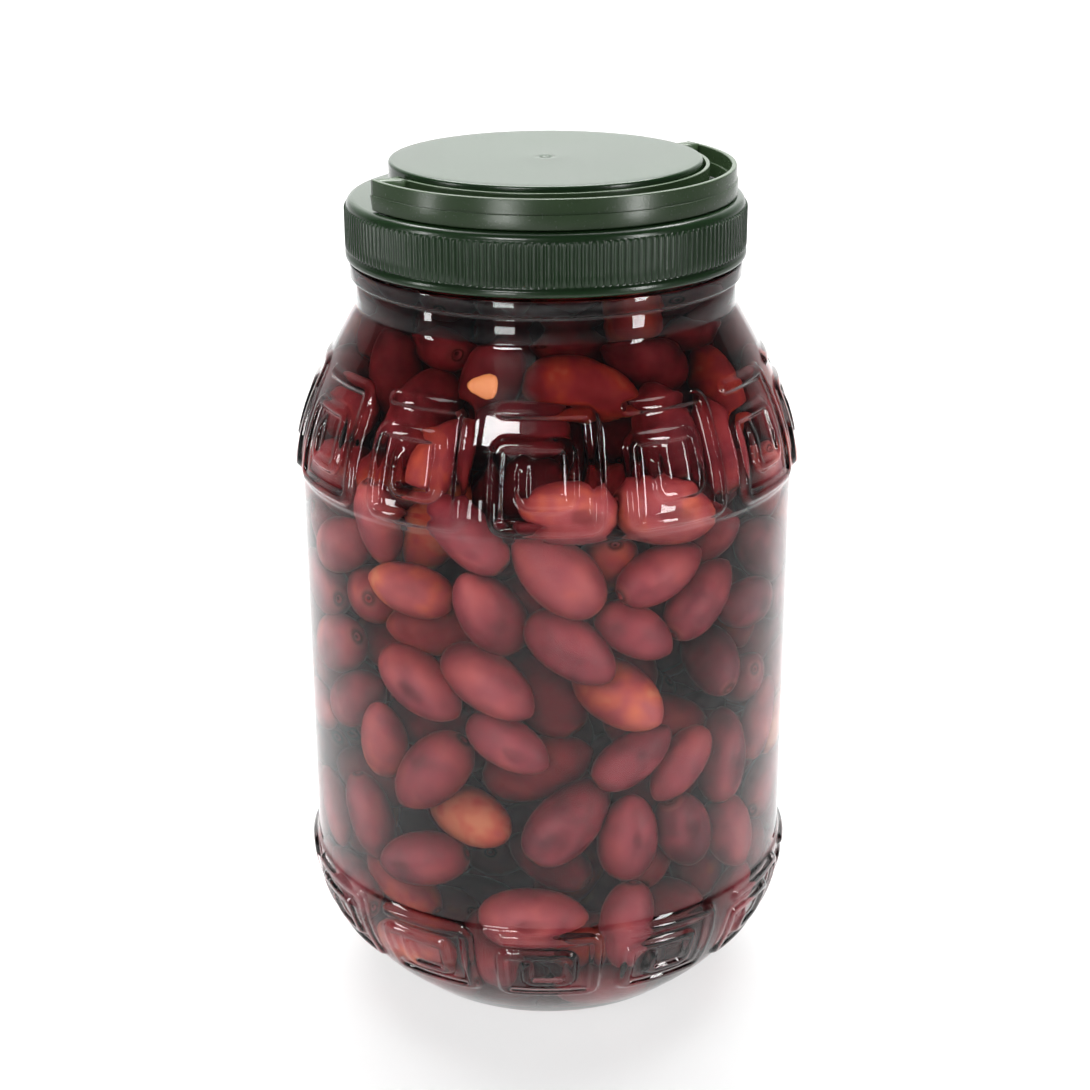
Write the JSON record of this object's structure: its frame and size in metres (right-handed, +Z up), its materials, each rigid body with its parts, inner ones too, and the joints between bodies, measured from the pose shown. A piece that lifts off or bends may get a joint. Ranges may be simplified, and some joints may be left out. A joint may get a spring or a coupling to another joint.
{
  "type": "jar of olives",
  "caption": "Large wide-mouth clear jar of dark red olives in brine, with square-spiral relief bands, a ribbed dark green screw lid and a fold-down carrying handle.",
  "frame": {"origin": "middle of the foot, on the surface that the jar stands on", "axes": "+Z up along the jar's axis, -Y towards the front, +X to the right seen from the front"},
  "size_m": [0.15, 0.15, 0.2558],
  "materials": {
    "clear_wall": "clear moulded plastic, glossy, with soft-edged raised square spirals",
    "lid_plastic": "dark green moulded plastic, semi-gloss, with fine grip ribs",
    "handle_plastic": "dark green moulded plastic, semi-gloss",
    "brine": "dark red brine, clear near the wall and nearly black in depth",
    "olive_skin": "burgundy olive skin, smooth, with a small stem scar and a few paler olives"
  },
  "bodies": {
    "jar": {"jar": "clear_wall", "lid": "lid_plastic", "brine": "brine"},
    "handle": {"handle": "handle_plastic"}
  },
  "joints": [
    {"name": "handle_swing", "type": "hinge", "parent": "jar", "child": "handle", "pos_m": [0, 0, 0.2501], "axis": [-0.8387, -0.5446, 0], "range_deg": [0, 90]}
  ]
}
